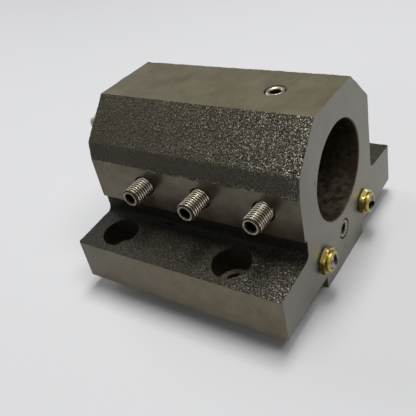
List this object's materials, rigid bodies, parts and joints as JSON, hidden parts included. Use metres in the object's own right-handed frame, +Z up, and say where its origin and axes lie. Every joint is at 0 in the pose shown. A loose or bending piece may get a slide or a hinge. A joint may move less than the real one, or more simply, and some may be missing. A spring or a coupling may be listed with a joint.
{
  "type": "boring bar holder",
  "caption": "Bolt-on boring bar holder: cast block with a clamped bar bore, side set screws, swivelling coolant nozzles, gallery plugs and a rear bore cover.",
  "frame": {"origin": "axis of the bar bore in the front face", "axes": "+X out of the front face along the bore, +Z up from the base to the top flat, clamp screws on the -Y side"},
  "size_m": [0.138, 0.1358, 0.0954],
  "materials": {
    "cast_iron": "sand cast and milled",
    "clamp_steel": "bright",
    "fastener_steel": "bright",
    "brass": "turned",
    "ball_steel": "polished",
    "seal_rubber": "matte",
    "washer": "matte",
    "cover_steel": "milled"
  },
  "bodies": {
    "holder": {"holder_body": "cast_iron", "top_plug": "fastener_steel", "front_gallery_plug": "fastener_steel", "cross_gallery_plug": "fastener_steel", "nozzle_body_left": "brass", "nozzle_body_right": "brass", "nozzle_washer_left": "washer", "nozzle_washer_right": "washer", "rear_cover": "cover_steel", "rear_cover_seal": "seal_rubber", "cover_screw_upper_left": "fastener_steel", "cover_screw_lower_left": "fastener_steel", "cover_screw_upper_right": "fastener_steel", "cover_screw_lower_right": "fastener_steel"},
    "clamp_screw_front": {"clamp_screw_front": "clamp_steel"},
    "clamp_screw_middle": {"clamp_screw_middle": "clamp_steel"},
    "clamp_screw_rear": {"clamp_screw_rear": "clamp_steel"},
    "seat_left": {"nozzle_seat_left": "seal_rubber"},
    "seat_right": {"nozzle_seat_right": "seal_rubber"},
    "ball_left": {"nozzle_ball_left": "ball_steel"},
    "ball_right": {"nozzle_ball_right": "ball_steel"}
  },
  "joints": [
    {"name": "clamp_front_travel", "type": "slide", "parent": "holder", "child": "clamp_screw_front", "axis": [0, 1, 0], "range_m": [-0.008, 0.0118]},
    {"name": "clamp_middle_travel", "type": "slide", "parent": "holder", "child": "clamp_screw_middle", "axis": [0, 1, 0], "range_m": [-0.008, 0.013]},
    {"name": "clamp_rear_travel", "type": "slide", "parent": "holder", "child": "clamp_screw_rear", "axis": [0, 1, 0], "range_m": [-0.008, 0.0118]},
    {"name": "nozzle_left_swivel", "type": "hinge", "parent": "holder", "child": "seat_left", "pos_m": [0.0029, -0.0252, -0.03558], "axis": [1, 0, 0], "continuous": true},
    {"name": "nozzle_left_tilt", "type": "hinge", "parent": "seat_left", "child": "ball_left", "pos_m": [0.0029, -0.0252, -0.03558], "axis": [0, -0.809, 0.5878], "range_deg": [-48, 8]},
    {"name": "nozzle_right_swivel", "type": "hinge", "parent": "holder", "child": "seat_right", "pos_m": [0.0029, 0.0252, -0.03558], "axis": [1, 0, 0], "continuous": true},
    {"name": "nozzle_right_tilt", "type": "hinge", "parent": "seat_right", "child": "ball_right", "pos_m": [0.0029, 0.0252, -0.03558], "axis": [0, 0.225, -0.9744], "range_deg": [-56, 0]}
  ]
}
